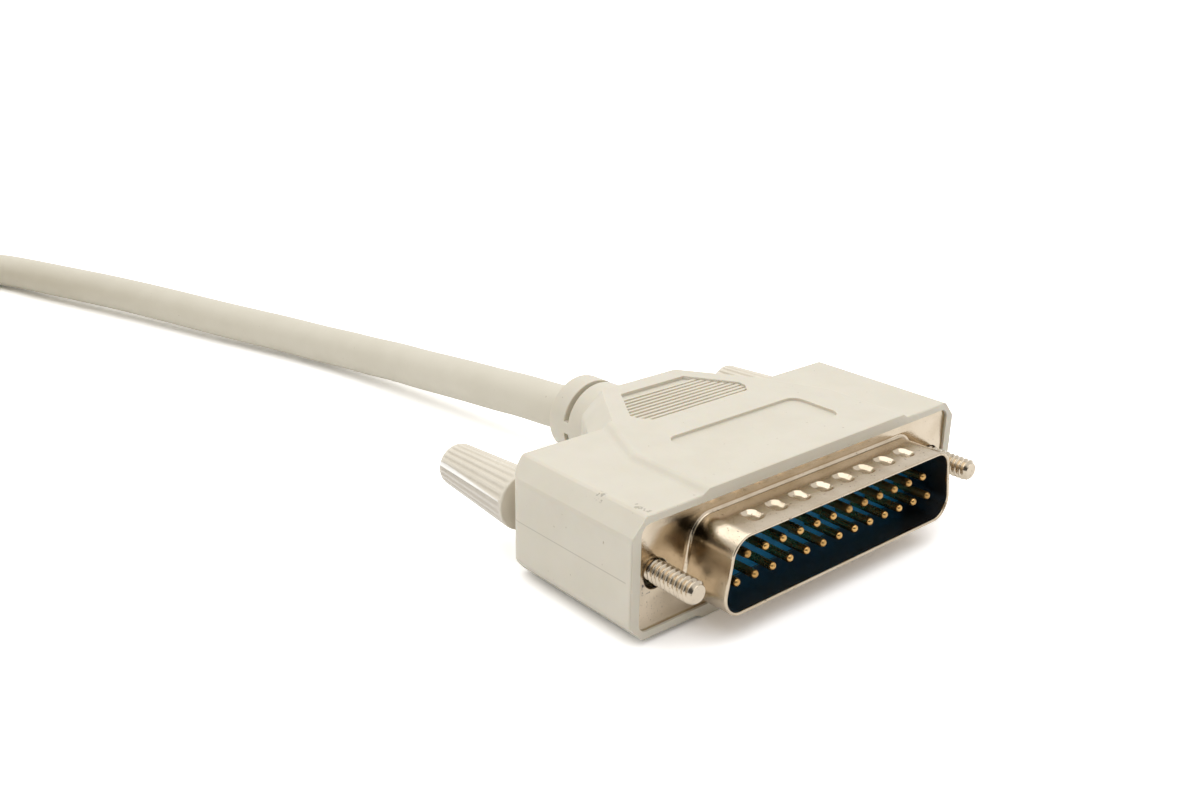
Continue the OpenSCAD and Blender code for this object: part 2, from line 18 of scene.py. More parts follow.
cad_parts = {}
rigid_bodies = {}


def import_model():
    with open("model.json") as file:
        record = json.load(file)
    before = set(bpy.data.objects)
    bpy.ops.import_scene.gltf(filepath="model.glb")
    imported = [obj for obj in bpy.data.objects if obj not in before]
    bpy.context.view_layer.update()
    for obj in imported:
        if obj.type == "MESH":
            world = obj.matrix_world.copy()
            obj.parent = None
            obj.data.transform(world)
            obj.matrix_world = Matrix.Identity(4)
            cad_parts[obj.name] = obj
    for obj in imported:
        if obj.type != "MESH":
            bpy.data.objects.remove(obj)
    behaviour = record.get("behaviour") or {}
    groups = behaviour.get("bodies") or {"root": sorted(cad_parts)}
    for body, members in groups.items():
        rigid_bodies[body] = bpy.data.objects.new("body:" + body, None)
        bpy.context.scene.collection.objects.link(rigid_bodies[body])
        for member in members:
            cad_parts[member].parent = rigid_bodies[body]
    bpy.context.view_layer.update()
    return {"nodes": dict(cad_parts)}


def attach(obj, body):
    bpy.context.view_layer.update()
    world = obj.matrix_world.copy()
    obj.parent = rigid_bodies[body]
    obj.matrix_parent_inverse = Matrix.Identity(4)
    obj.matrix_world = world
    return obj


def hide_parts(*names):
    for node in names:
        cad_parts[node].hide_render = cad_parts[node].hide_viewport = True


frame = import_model()
MM = 0.001
scene = bpy.context.scene
PLUG = "plug_and_cable"
FLOOR_Z = -7.63

# %% [markdown]
# ## Camera
# The camera stands low at the plug's front left corner and looks down along the row of
# contacts. Its place and its three angles give a matrix whose columns are the camera's
# right, its up and the way back from what it sees.

# %% Camera
CAMERA_AT = np.array([-98.68, -76.91, 59.35]) * MM
CAMERA_YAW, CAMERA_PITCH, CAMERA_ROLL = np.radians([-41.16, 20.74, 1.01])
LENS = 35.958


def camera_axes(yaw, pitch, roll):
    """Back from the yaw and pitch, right as up x back, then both turned by the roll."""
    back = np.array([np.sin(yaw) * np.cos(pitch), -np.cos(yaw) * np.cos(pitch), np.sin(pitch)])
    right = np.cross([0, 0, 1], back)
    right /= np.linalg.norm(right)
    up = np.cross(back, right)
    turned = np.cos(roll) * right + np.sin(roll) * up
    return np.stack([turned, np.cross(back, turned), back], axis=1)


camera_data = bpy.data.cameras.new("camera")
camera_data.sensor_width = 36
camera_data.lens = LENS
camera_data.clip_start = 0.005
camera_data.clip_end = 20
camera = bpy.data.objects.new("camera", camera_data)
scene.collection.objects.link(camera)
pose = np.eye(4)
pose[:3, :3] = camera_axes(CAMERA_YAW, CAMERA_PITCH, CAMERA_ROLL)
pose[:3, 3] = CAMERA_AT
camera.matrix_world = Matrix(pose.tolist())
scene.camera = camera
print("camera at", CAMERA_AT, "lens", LENS)

# %% [markdown]
# ## From arrays to a piece
# Every new surface here is an array of points worked out at once. Three helpers turn such
# an array into a closed mesh, join the seams, and hang the piece on its body.

# %% Mesh helpers
def grid_quads(rows, columns, closed_rows=False):
    """Quads between neighbouring points of a grid whose columns close on themselves."""
    r = np.arange(rows if closed_rows else rows - 1)[:, None]
    c = np.arange(columns)[None, :]
    below, right = (r + 1) % rows, (c + 1) % columns
    corners = [r * columns + c, r * columns + right, below * columns + right, below * columns + c]
    return np.stack(np.broadcast_arrays(*corners), axis=-1).reshape(-1, 4)


def tidy(mesh, angle, merge=0.0008):
    """Merges doubles (in mm), turns all faces outwards and smooths below an angle in degrees."""
    work = bmesh.new()
    work.from_mesh(mesh)
    bmesh.ops.remove_doubles(work, verts=work.verts, dist=merge * MM)
    bmesh.ops.dissolve_degenerate(work, edges=work.edges, dist=1e-8)
    bmesh.ops.recalc_face_normals(work, faces=work.faces)
    work.to_mesh(mesh)
    work.free()
    mesh.shade_smooth()
    mesh.set_sharp_from_angle(angle=math.radians(angle))


def add_piece(name, mesh, body, replaced):
    """Links a mesh as an object that rides on a body and stands for CAD nodes."""
    piece = bpy.data.objects.new(name, mesh)
    scene.collection.objects.link(piece)
    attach(piece, body)
    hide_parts(*replaced)
    return piece


def mesh_from(name, points, faces, angle=35, at=(0, 0, 0)):
    """A mesh from points in millimetres, moved by at."""
    mesh = bpy.data.meshes.new(name)
    mesh.from_pydata((np.asarray(points) + np.asarray(at)) * MM, [], np.asarray(faces).tolist())
    tidy(mesh, angle)
    return mesh


def lathe(radius, along, columns):
    """Points of a turned shape on the Y axis: ring i has radius[i] (one value, or one for
    each column) at along[i]. The first and last rings have radius 0 and close the ends."""
    turn = np.linspace(0, 2 * np.pi, columns, endpoint=False)
    r = np.broadcast_to(np.asarray(radius, float).reshape(len(along), -1), (len(along), columns))
    y = np.broadcast_to(np.asarray(along, float).reshape(len(along), -1), (len(along), columns))
    return np.stack([-r * np.cos(turn), y, r * np.sin(turn)], axis=-1).reshape(-1, 3)


print("helpers ready")

# %% [markdown]
# ## The cable
# On the real plug this is a round PVC jacket over 25 cores. It leaves the strain relief,
# sags to the table and wanders off to the left. The rest is stored as a small coil of 6.4
# turns, and its end goes into the like plug. A smooth curve through the listed points
# is sampled finely, and a circle is carried along it.

# %% Route of the cable
CABLE_D, CABLE_SIDES = 6.2, 40
route = np.array([
    [0, 23, -0.4], [0, 27, -0.4], [0, 31, -0.4], [0, 36, -0.4],
    [0, 40, -0.4], [-0.1, 43.5, -0.78], [-0.3, 47, -1.07], [-0.8, 52, -1.3],
    [-1.5, 57, -1.65], [-2.1, 62.5, -2], [-2.7, 68, -2.4], [-3.5, 74, -2.8],
    [-4.3, 80, -3.1], [-5.3, 86, -3.5], [-6.4, 92, -3.75], [-7.9, 98.5, -4],
    [-10, 106, -3.98], [-12.6, 114, -3.93], [-15.3, 122, -3.84], [-18.1, 131, -3.73],
    [-20.9, 140, -3.68], [-23.9, 149, -3.63], [-26.9, 158, -3.73], [-30, 167, -3.83],
    [-32.4, 175, -4.06], [-34.6, 181, -4.23], [-38.2, 187.4, -4.41], [-43.6, 192.8, -4.4],
    [-50.6, 196.2, -4.3], [-59, 197, -4.2], [-68, 197, -4.13], [-76, 197, -4.13]])
tail = np.array([
    [-104.6, 137.4, 1.9], [-102, 134.4, 1.5], [-99.5, 131.6, 1],
    [-96.8, 127.6, 0.4], [-95.1, 123, 0], [-94.6, 120, -0.3], [-94.5, 117.5, -0.4],
    [-94.5, 113, -0.4], [-94.5, 108, -0.4], [-94.5, 104, -0.4], [-94.5, 101, -0.4]])
COIL_CENTRE = np.array([-81.5, 162.85])
COIL_PITCH = CABLE_D + 0.1
COIL_MEAN_R = 31
COIL_LOW_Z = -4.13
COIL_TURNS = 6.36


def coil_line(turns):
    """Places along the coil. Each turn keeps to one slot of the bundle (column, layer), then
    moves to the next slot over a third of a turn. Every crossing starts a little earlier
    than the last one, so the crossings don't lie on top of each other."""
    columns = np.array([1, 0, 0, 0, 0, 1, 1, 1]) - 0.5
    layers = np.array([0, 0, 1, 2, 3, 2, 1, 1])
    whole = np.minimum(np.floor(turns), 6).astype(int)
    part = turns - whole
    start = 0.64 - 0.09 * whole
    move = np.clip((part - start) / 0.34, 0, 1) * (whole < 6)
    move = move**2 * (3 - 2 * move)
    column = columns[whole] * (1 - move) + columns[whole + 1] * move
    layer = layers[whole] * (1 - move) + layers[whole + 1] * move
    r = COIL_MEAN_R + column * COIL_PITCH
    angle = np.pi / 2 + 2 * np.pi * turns
    return np.stack([COIL_CENTRE[0] + r * np.cos(angle), COIL_CENTRE[1] + r * np.sin(angle),
                     COIL_LOW_Z + layer * COIL_PITCH], axis=1)


def through(points, step):
    """A smooth curve through points: each stretch is a cubic whose slopes at both ends are
    half the way between the neighbouring points. It is sampled about every step."""
    ends = np.vstack([2 * points[0] - points[1], points, 2 * points[-1] - points[-2]])
    a, b, c, d = ends[:-3, None], ends[1:-2, None], ends[2:-1, None], ends[3:, None]
    t = np.linspace(0, 1, 9)[None, :-1, None]
    curve = 0.5 * (2 * b + (c - a) * t + (2 * a - 5 * b + 4 * c - d) * t**2
                   + (3 * b - a - 3 * c + d) * t**3)
    curve = np.vstack([curve.reshape(-1, 3), points[-1:]])
    far = np.concatenate([[0], np.cumsum(np.linalg.norm(np.diff(curve, axis=0), axis=1))])
    at = np.linspace(0, far[-1], int(far[-1] / step) + 1)
    return np.stack([np.interp(at, far, curve[:, k]) for k in range(3)], axis=1)


coil = coil_line(np.arange(0, COIL_TURNS, 1 / 28))
centreline = through(np.vstack([route, coil, tail]), step=2.0)

# %% Sweep of the cable
def tube(line, radius, columns):
    """A circle carried along a line: at each point it stands across the line's direction,
    with its first corner level."""
    ahead = np.gradient(line, axis=0)
    ahead /= np.linalg.norm(ahead, axis=1, keepdims=True)
    level = np.cross(ahead, [0, 0, 1])
    level /= np.linalg.norm(level, axis=1, keepdims=True)
    upper = np.cross(level, ahead)
    turn = np.linspace(0, 2 * np.pi, columns, endpoint=False)[None, :, None]
    rings = line[:, None] + radius * (np.cos(turn) * level[:, None] + np.sin(turn) * upper[:, None])
    ends = np.repeat(line[[0, -1], None], columns, axis=1)
    return np.concatenate([ends[:1], rings, ends[1:]]).reshape(-1, 3)


cable_points = tube(centreline, CABLE_D / 2, CABLE_SIDES)
cable_mesh = mesh_from("cable_skin", cable_points, grid_quads(len(centreline) + 2, CABLE_SIDES))
cable = add_piece("cable_skin", cable_mesh, PLUG, ["cable", "cable_coil", "cable_tail"])
print("cable has", len(cable_mesh.polygons), "faces")

# %% [markdown]
# ## The metal shell
# The real shell is drawn from thin sheet steel and nickel-plated: a flat flange, a small
# radius where the wall rises, and a thin rounded lip. So one profile of the sheet, seen from
# its edge, is carried around the D-shaped path. Both faces of the upper wall are pushed in
# at the eight grip dimples, as a punch would do it.

# %% Path of the mouth
MOUTH_W, MOUTH_H, MOUTH_R = 38.96, 8.36, 2.2
SLANT = math.radians(10)
SHEET, REACH, ROOT_R, PLATE = 0.4, 6.0, 0.4, 0.5
WALL_ROWS, INNER_ROWS = 52, 24
DIMPLES, DIMPLE_PITCH, DIMPLE_REACH, DIMPLE_DEEP = 8, 3.72, 3.2, 0.35
DIMPLE_HALF_W, DIMPLE_HALF_L = 1.0, 1.15


def d_path(step, arc):
    """The D path as (core, normal): a point of the mouth's wall is core + R * normal. On the
    four straight sides the normal stays and the core moves, at the corners the core stays
    and the normal turns."""
    angles = np.array([-np.pi / 2, SLANT, np.pi / 2, np.pi - SLANT])
    normals = np.stack([np.cos(angles), np.sin(angles)], axis=1)
    on_side = np.array([[0, -MOUTH_H / 2], [MOUTH_W / 2, -MOUTH_H / 2],
                        [0, MOUTH_H / 2], [-MOUTH_W / 2, -MOUTH_H / 2]])
    far = (normals * on_side).sum(axis=1) - MOUTH_R
    core, normal = [], []
    for k in range(4):
        before, here, after = (k - 1) % 4, k, (k + 1) % 4
        start = np.linalg.solve(normals[[before, here]], far[[before, here]])
        end = np.linalg.solve(normals[[here, after]], far[[here, after]])
        count = max(int(np.linalg.norm(end - start) / step), 3)
        core.append(start + (end - start) * np.linspace(0, 1, count + 1)[:, None])
        normal.append(np.repeat(normals[here][None], count + 1, axis=0))
        turn = (angles[after] - angles[here]) % (2 * np.pi)
        bend = angles[here] + turn * np.arange(1, arc) / arc
        core.append(np.repeat(end[None], arc - 1, axis=0))
        normal.append(np.stack([np.cos(bend), np.sin(bend)], axis=1))
    return np.vstack(core), np.vstack(normal)


print("mouth path has", len(d_path(0.16, 14)[0]), "points")

# %% Sheet profile with its lip, root and dimples
def sheet_profile():
    """Distance outside the mouth and depth along the sheet: root arc, outer wall, rounded
    lip, inner wall, and back behind the flange."""
    root = np.linspace(0, np.pi / 2, 9)
    lip = np.linspace(0, np.pi, 11)
    wall = np.linspace(-ROOT_R - 0.1, -REACH + SHEET / 2 + 0.05, WALL_ROWS)
    out = np.concatenate([SHEET + ROOT_R * (1 - np.sin(root)), np.full(WALL_ROWS, SHEET),
                          SHEET / 2 * (1 + np.cos(lip)), np.zeros(INNER_ROWS + 1),
                          [SHEET + ROOT_R]])
    deep = np.concatenate([-ROOT_R * (1 - np.cos(root)), wall,
                           -REACH + SHEET / 2 * (1 - np.sin(lip)),
                           np.linspace(-REACH + 0.3, -0.4, INNER_ROWS), [PLATE, PLATE]])
    return out, deep


def dimple_depth(x, y):
    """A row of pressed ovals. Each has the depth d (1 - s^5), where s^3 = |dx|^3 + |dy|^3 is
    the distance from its middle in parts of its half width and half length."""
    place = x / DIMPLE_PITCH - 0.5
    across = (place - np.round(place)) * DIMPLE_PITCH
    away = (np.abs(across / DIMPLE_HALF_W) ** 3
            + np.abs((y + DIMPLE_REACH) / DIMPLE_HALF_L) ** 3) ** (1 / 3)
    in_row = np.abs(x) < DIMPLES / 2 * DIMPLE_PITCH
    return DIMPLE_DEEP * np.clip(1 - away**5, 0, 1) * in_row


def drawn_shell(name, at, step=0.16):
    """The sheet profile carried around the D path, with the dimples on the upper side."""
    core, normal = d_path(step, 14)
    out, deep = sheet_profile()
    wall = (deep < -ROOT_R) & (deep > -REACH + 0.5)
    reach = MOUTH_R + out[:, None] + np.zeros(len(core))
    x = core[:, 0][None, :] + np.zeros_like(reach)
    upper = (normal[:, 1] > 0.999)[None, :] & wall[:, None]
    reach = reach - dimple_depth(x, deep[:, None]) * upper
    x = core[:, 0] + reach * normal[:, 0]
    z = core[:, 1] + reach * normal[:, 1]
    y = deep[:, None] + np.zeros_like(x)
    points = np.stack([x, y, z], axis=-1).reshape(-1, 3)
    return mesh_from(name, points, grid_quads(len(out), len(core), closed_rows=True), 40, at)


def rounded_rectangle(w, h, r, arc=10):
    """Points of a rounded rectangle around the origin."""
    bend = np.linspace(0, np.pi / 2, arc)
    corners = [(1, 1), (-1, 1), (-1, -1), (1, -1)]
    parts = [np.stack([sx * (w / 2 - r) + r * np.cos(bend + k * np.pi / 2),
                       sz * (h / 2 - r) + r * np.sin(bend + k * np.pi / 2)], axis=1)
             for k, (sx, sz) in enumerate(corners)]
    return np.vstack(parts)


def circle(r, x=0, z=0, columns=48):
    """Points of a circle around (x, z)."""
    turn = np.linspace(0, 2 * np.pi, columns, endpoint=False)
    return np.stack([x + r * np.cos(turn), z + r * np.sin(turn)], axis=1)


def flat_plate(name, outlines, front, back, edge, at):
    """A flat plate between two depths, with holes. The first outline is its edge and the
    others are the holes. The edges are rounded by a small radius."""
    curve = bpy.data.curves.new(name, "CURVE")
    curve.dimensions = "2D"
    curve.fill_mode = "BOTH"
    curve.extrude = (back - front) / 2 * MM - edge * MM
    curve.bevel_depth = edge * MM
    curve.bevel_resolution = 2
    curve.offset = -edge * MM
    for outline in outlines:
        spline = curve.splines.new("POLY")
        spline.points.add(len(outline) - 1)
        flat = np.zeros((len(outline), 4))
        flat[:, :2] = outline * MM
        flat[:, 3] = 1
        spline.points.foreach_set("co", flat.ravel())
        spline.use_cyclic_u = True
    holder = bpy.data.objects.new(name, curve)
    mesh = bpy.data.meshes.new_from_object(holder)
    bpy.data.objects.remove(holder)
    bpy.data.curves.remove(curve)
    points = np.zeros(len(mesh.vertices) * 3)
    mesh.vertices.foreach_get("co", points)
    points = points.reshape(-1, 3) / MM
    points = np.stack([points[:, 0], (front + back) / 2 - points[:, 2], points[:, 1]], axis=1)
    mesh.vertices.foreach_set("co", ((points + np.asarray(at)) * MM).ravel())
    tidy(mesh, 40, 0.002)
    return mesh


def joined(name, meshes):
    """One mesh out of several."""
    work = bmesh.new()
    for mesh in meshes:
        work.from_mesh(mesh)
        bpy.data.meshes.remove(mesh)
    whole = bpy.data.meshes.new(name)
    work.to_mesh(whole)
    work.free()
    whole.set_sharp_from_angle(angle=math.radians(40))
    return whole


print("profile has", len(sheet_profile()[0]), "points")

# %% Both ends' front shells
ENDS = {"": np.array([0.0, 0, 0]), "far_": np.array([-94.5, 78.0, 0])}
SCREW_X, HOLE_R = 23.52, 1.68
FLANGE_W, FLANGE_H, FLANGE_R = 53.04, 12.55, 2.2
flange_edge = rounded_rectangle(FLANGE_W, FLANGE_H, FLANGE_R)
holes = [circle(HOLE_R, -SCREW_X), circle(HOLE_R, SCREW_X)]
core, normal = d_path(1.5, 10)
root_edge = core + (MOUTH_R + SHEET + ROOT_R - 0.02) * normal
metal = []
for end, at in ENDS.items():
    wall = drawn_shell(end + "wall", at, 0.16 if end == "" else 0.3)
    plate = flat_plate(end + "plate", [flange_edge, root_edge, *holes], 0, PLATE, 0.06, at)
    front = joined(end + "front_shell_skin", [wall, plate])
    metal.append(add_piece(front.name, front, PLUG, [end + "front_shell"]))
    print(front.name, len(front.polygons), "faces")

# %% [markdown]
# ## The contacts
# Each contact is turned from a brass rod and gold-plated: a round tip, a thin shaft, a
# collar that the two blue insulators lock, and a cup at the back into which the wire is
# soldered. A lathe does just that here: radii at places along the axis. The 25 pins stay
# separate pieces, 13 in the lower row and 12 in the upper.

# %% Turned pins
PINS, LOWER_PINS, PIN_PITCH, ROW_Z = 25, 13, 2.76, 1.42
PIN_TIP, COLLAR_START, COLLAR_END, CUP_START, CUP_FLOOR, CUP_END = -5.1, 2.9, 4.1, 7.5, 8.1, 10.5
PIN_R, COLLAR_R, REAR_R, CUP_R, CUP_BORE_R = 0.5, 0.85, 0.64, 0.8, 0.55
PIN_SIDES, FAR_PIN_SIDES = 24, 16


def pin_profile():
    """Radius along one contact: a round tip, shaft, collar, step, cup and the cup's bore."""
    tip = np.linspace(0, np.pi / 2, 9)
    radius = np.concatenate([PIN_R * np.sin(tip), [PIN_R, COLLAR_R, COLLAR_R, REAR_R, REAR_R,
                                                   CUP_R, CUP_R, CUP_BORE_R, CUP_BORE_R, 0]])
    along = np.concatenate([PIN_TIP + PIN_R * (1 - np.cos(tip)),
                            np.repeat([COLLAR_START, COLLAR_END, CUP_START, CUP_END, CUP_FLOOR], 2)])
    return radius, along


def pin_place(number):
    """Place of contact 1 to 25: the lower row first, from -X to +X, then the upper row."""
    lower = number <= LOWER_PINS
    middle = (1 + LOWER_PINS) / 2 if lower else (LOWER_PINS + 1 + PINS) / 2
    return np.array([(number - middle) * PIN_PITCH, 0, -ROW_Z if lower else ROW_Z])


radius, along = pin_profile()
pin_faces = grid_quads(len(radius), PIN_SIDES)
pin_points = lathe(radius, along, PIN_SIDES)
for number in range(1, PINS + 1):
    name = f"pin_{number:02d}"
    mesh = mesh_from(name + "_skin", pin_points, pin_faces, 35, pin_place(number))
    add_piece(mesh.name, mesh, PLUG, [name])
far_pin = lathe(radius, along, FAR_PIN_SIDES)
far_points = [far_pin + pin_place(n) for n in range(1, PINS + 1)]
far_faces = [grid_quads(len(radius), FAR_PIN_SIDES) + k * len(far_pin) for k in range(PINS)]
far_mesh = mesh_from("far_contacts_skin", np.vstack(far_points), np.vstack(far_faces), 35,
                     ENDS["far_"])
add_piece(far_mesh.name, far_mesh, PLUG, ["far_contacts"])
print(PINS, "pins, and", len(far_mesh.polygons), "faces in the far contacts")

# %% [markdown]
# ## The thumbscrews
# A thumbscrew is a steel screw with a 4-40 thread, and a fluted knob is moulded on its rear
# end. The real thread is rolled, so its crest is slightly rounded. Here the radius is a
# function of the turn and the depth: a saw-tooth wave that winds once around for every
# 0.635 mm. The screws lie loose in the flange's holes, so each sits a little off the middle
# of its hole. The knob is a cone whose radius is lowered in 24 flutes, with the thin seam
# where the two halves of its mould met.

# %% Threaded screws
THREAD_R, THREAD_PITCH, THREAD_DEPTH = 1.32, 0.635, 0.34
SCREW_TIP, THREAD_END, SCREW_END = -5.95, 8.0, 31.7
TIP_R, SHANK_R, RUN_OUT = THREAD_R - 0.35, 1.1, 0.6
SCREW_SIDES = 48
LOOSE = np.array([0.1, 0, 0.2])


def screw_points(fine):
    """Radius r(turn, y) of a screw: the thread's wave under a chamfered tip, then the
    shank. The wave is flat for an eighth of the pitch on the crest and at the root. There
    are fine rings to a pitch."""
    thread = np.arange(SCREW_TIP + 0.01, THREAD_END, THREAD_PITCH / fine)
    shank = [THREAD_END, THREAD_END + 0.05, 16, SCREW_END, SCREW_END]
    y = np.concatenate([[SCREW_TIP, SCREW_TIP], thread, shank])[:, None]
    turn = np.linspace(0, 1, SCREW_SIDES, endpoint=False)[None, :]
    phase = (y / THREAD_PITCH - turn) % 1
    slope = np.clip((np.abs(phase - 0.5) * 2 - 0.12) / 0.76, 0, 1)
    slope = slope * 0.8 + 0.2 * slope**2 * (3 - 2 * slope)
    outside = np.where(y > -0.3, THREAD_R - 0.03, THREAD_R)
    fade = np.clip((THREAD_END - y) / RUN_OUT, 0, 1)
    r = outside - THREAD_DEPTH * (1 - slope)
    r = np.minimum(r, TIP_R + y - SCREW_TIP)
    r = np.where(y > THREAD_END - RUN_OUT, SHANK_R + (r - SHANK_R) * fade, r)
    r = np.where(y > THREAD_END, SHANK_R, r)
    r[0] = 0
    r[1] = TIP_R
    r[-1] = 0
    return lathe(r, y + np.zeros_like(r), SCREW_SIDES), len(y)


for end, at in ENDS.items():
    points, rows = screw_points(18 if end == "" else 10)
    for side, sign in (("left", -1), ("right", 1)):
        place = at + [sign * SCREW_X, 0, 0] + LOOSE
        mesh = mesh_from(f"{end}screw_{side}_skin", points, grid_quads(rows, SCREW_SIDES), 38, place)
        add_piece(mesh.name, mesh, f"{end}{side}_thumbscrew", [f"{end}screw_{side}"])
    print("each", end + "screw has", len(mesh.polygons), "faces")

# %% Fluted knobs
FLUTES, FLUTE_SIDES, FLUTE_DEPTH = 24, 10, 0.2
SEAM_TURN, SEAM_RISE, SEAM_HALF_W = 1 / 24, 0.2, 0.008


def knob_points(start=21.7, end=35.7, root_r=3.55, end_r=2.65):
    """Radius r(turn, y) of a knob: a cone, less a round groove for every flute, with
    rounded ends, plus a thin raised seam on both sides (its half width in turns)."""
    near_round, end_round = 0.25, 0.75
    columns = FLUTES * FLUTE_SIDES
    bend = np.linspace(0, np.pi / 2, 9)
    near = start + near_round * (1 - np.cos(bend[:5] * 2))
    body = np.linspace(start + 0.5, end - end_round - 0.1, 34)
    tail = end - end_round + end_round * np.sin(bend)
    y = np.concatenate([[start], near, body, tail, [end]])[:, None]
    turn = np.linspace(0, 1, columns, endpoint=False)[None, :]
    r = root_r + (end_r - root_r) * np.clip((y - start) / (end - start), 0, 1)
    wave = np.abs(((turn * FLUTES) % 1) - 0.5) * 2
    groove = FLUTE_DEPTH * np.clip(1 - (wave / 0.62) ** 2, 0, 1)
    runs = np.clip((y - start - 0.15) / 0.5, 0, 1) * np.clip((end - 0.35 - y) / 0.7, 0, 1)
    r = r - groove * runs
    seam = np.abs(((turn - SEAM_TURN) * 2 + 0.5) % 1 - 0.5) / 2
    r = r + SEAM_RISE * np.clip(1 - seam / SEAM_HALF_W, 0, 1) * runs
    into_near = np.clip((start + near_round - y) / near_round, 0, 1)
    into_end = np.clip((y - end + end_round) / end_round, 0, 1)
    for size, into in ((near_round, into_near), (end_round, into_end)):
        r = r - size * (1 - np.sqrt(np.clip(1 - into**2, 0, 1)))
    r[0] = 0
    r[-1] = 0
    return lathe(r, y + np.zeros_like(r), columns), len(y), columns


points, rows, columns = knob_points()
for end, at in ENDS.items():
    for side, sign in (("left", -1), ("right", 1)):
        place = at + [sign * SCREW_X, 0, 0]
        mesh = mesh_from(f"{end}knob_{side}_skin", points, grid_quads(rows, columns), 50, place)
        add_piece(mesh.name, mesh, f"{end}{side}_thumbscrew", [f"{end}knob_{side}"])
print("a knob has", len(mesh.polygons), "faces")

# %% [markdown]
# ## The hood and the strain relief
# The hood is one PVC moulding around everything, and its long edges are softly rounded by
# the mould. The CAD solid has the exact form with sharp edges, so a copy of it is cleaned
# and each outer edge gets a small round. A weight on every edge says how large its round
# is: full on the hood's outer form, a quarter at the recesses and less on the grip's ribs.

# %% Rounded copies of CAD solids
def rounded_copy(node, width, weigh, segments):
    """A copy of a CAD node's mesh whose edges are rounded. weigh takes the middles of all
    edges (mm, from the plug's own origin) and gives their weights."""
    mesh = frame["nodes"][node].data.copy()
    mesh.name = node + "_skin"
    work = bmesh.new()
    work.from_mesh(mesh)
    bmesh.ops.remove_doubles(work, verts=work.verts, dist=0.0008 * MM)
    bmesh.ops.dissolve_limit(work, angle_limit=math.radians(1.5), verts=work.verts,
                             edges=work.edges, delimit=set())
    bmesh.ops.recalc_face_normals(work, faces=work.faces)
    work.edges.ensure_lookup_table()
    at = ENDS["far_" if node.startswith("far_") else ""]
    middles = np.array([(e.verts[0].co + e.verts[1].co) / 2 for e in work.edges]) / MM - at
    angles = np.array([e.calc_face_angle_signed(0) for e in work.edges])
    lengths = np.array([e.calc_length() for e in work.edges]) / MM
    weights = weigh(middles, angles, lengths)
    layer = work.edges.layers.float.new("bevel_weight_edge")
    for edge, weight in zip(work.edges, weights):
        edge[layer] = weight
    work.to_mesh(mesh)
    work.free()
    mesh.shade_smooth()
    mesh.set_sharp_from_angle(angle=math.radians(30))
    piece = add_piece(mesh.name, mesh, PLUG, [node])
    bevel = piece.modifiers.new("soft edges", "BEVEL")
    bevel.limit_method = "WEIGHT"
    bevel.width = width * MM
    bevel.segments = segments
    bevel.use_clamp_overlap = False
    bevel.miter_outer = "MITER_ARC"
    even = piece.modifiers.new("even shading", "WEIGHTED_NORMAL")
    even.keep_sharp = True
    print(piece.name, len(mesh.polygons), "faces,", int((weights > 0).sum()), "rounded edges")


def hood_weights(middles, angles, lengths):
    """Full on the outer form, small at the recesses, the rim and the plateau, none in holes
    and pockets and on flat or curved parts."""
    x, y, z = np.abs(middles[:, 0]), middles[:, 1], middles[:, 2]
    label = (x < 12) & (y > 4) & (y < 13) & (z > 7.2)
    grip = (x < 10.5) & (y > 16.5) & (y < 26.5) & (z > 6.4)
    inside = (np.abs(z) < 6.3) & (x < 26.6) & (y < 19) | (y > 28) & (np.hypot(x, z + 0.4) < 4.8)
    holes = (np.hypot(x - SCREW_X, z) < 2)
    sharp = np.abs(angles) > math.radians(14)
    rim = (y < -0.2) & (x < 26.2) & (np.abs(z) < 6.5)
    pocket = (y > -0.2) & (y < 7) & (x < 26.8) & (np.abs(z) < 6.7)
    plateau = (z > 7.2) & (y < 4)
    small = label | rim | plateau
    ribs = grip & (np.abs(z - 7.38) < 0.04)
    bare = (grip & ~ribs | inside | holes | pocket) & ~small
    weights = np.where(bare, 0, np.where(small, 0.25, np.where(ribs, 0.12, 1.0)))
    behind = (x > 12) & (x < 14) & (y > 19.8) & (y < 20) & (z > 6.2)
    weights = np.where(behind, 0.2, weights)
    weights = np.where(y < -0.2, np.minimum(weights, 0.4), weights)
    return weights * sharp


def relief_weights(middles, angles, lengths):
    """A small round on every ring-shaped edge, none along the facets."""
    return 1.0 * (np.abs(angles) > math.radians(25))


for end in ENDS:
    rounded_copy(end + "hood", 0.3, hood_weights, 3)
    rounded_copy(end + "strain_relief", 0.12, relief_weights, 2)

# %% [markdown]
# ## The coil's tie
# A stored cable is kept together by a short black band around its turns.

